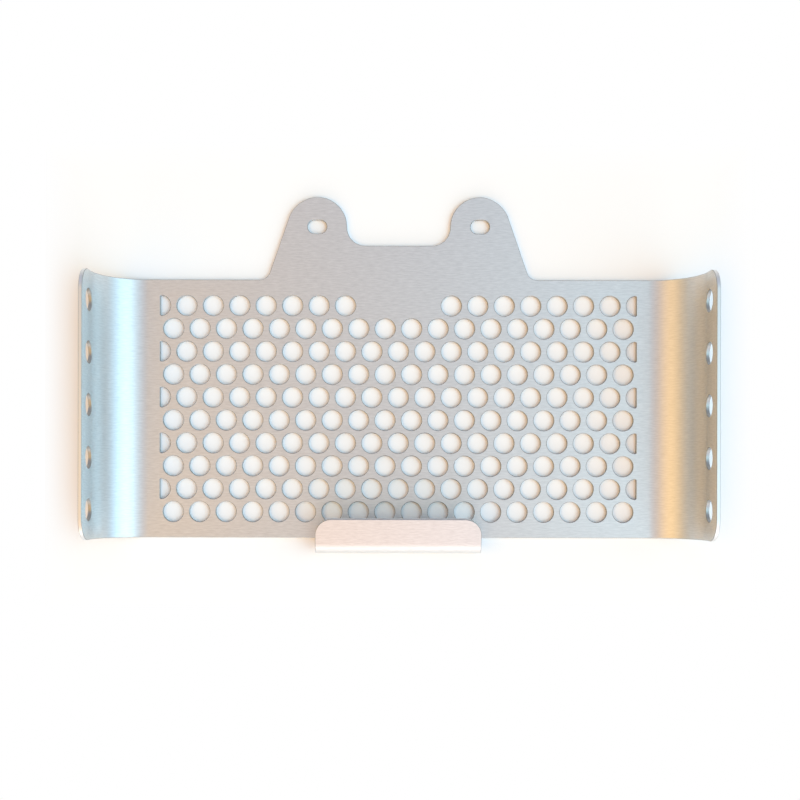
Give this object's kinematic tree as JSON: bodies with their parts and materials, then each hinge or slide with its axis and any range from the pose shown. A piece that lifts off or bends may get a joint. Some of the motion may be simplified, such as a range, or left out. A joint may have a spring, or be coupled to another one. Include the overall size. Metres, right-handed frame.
{
  "type": "motorcycle radiator guard",
  "caption": "Folded stainless sheet guard for a motorcycle radiator: perforated flat panel, curved side wings, slotted mounting ears and a hooked bottom lip.",
  "frame": {"origin": "middle of the guard's footprint, on the underside of the flat panel", "axes": "+X along the guard's width from wing to wing, +Y along the panel from the hook lip to the ears, +Z the way the wings and the lip are folded, towards the radiator"},
  "size_m": [0.2354, 0.1398, 0.0313],
  "materials": {
    "brushed_stainless": "fine satin brushing along the guard's width"
  },
  "bodies": {
    "root": {"guard_sheet": "brushed_stainless"}
  },
  "joints": []
}
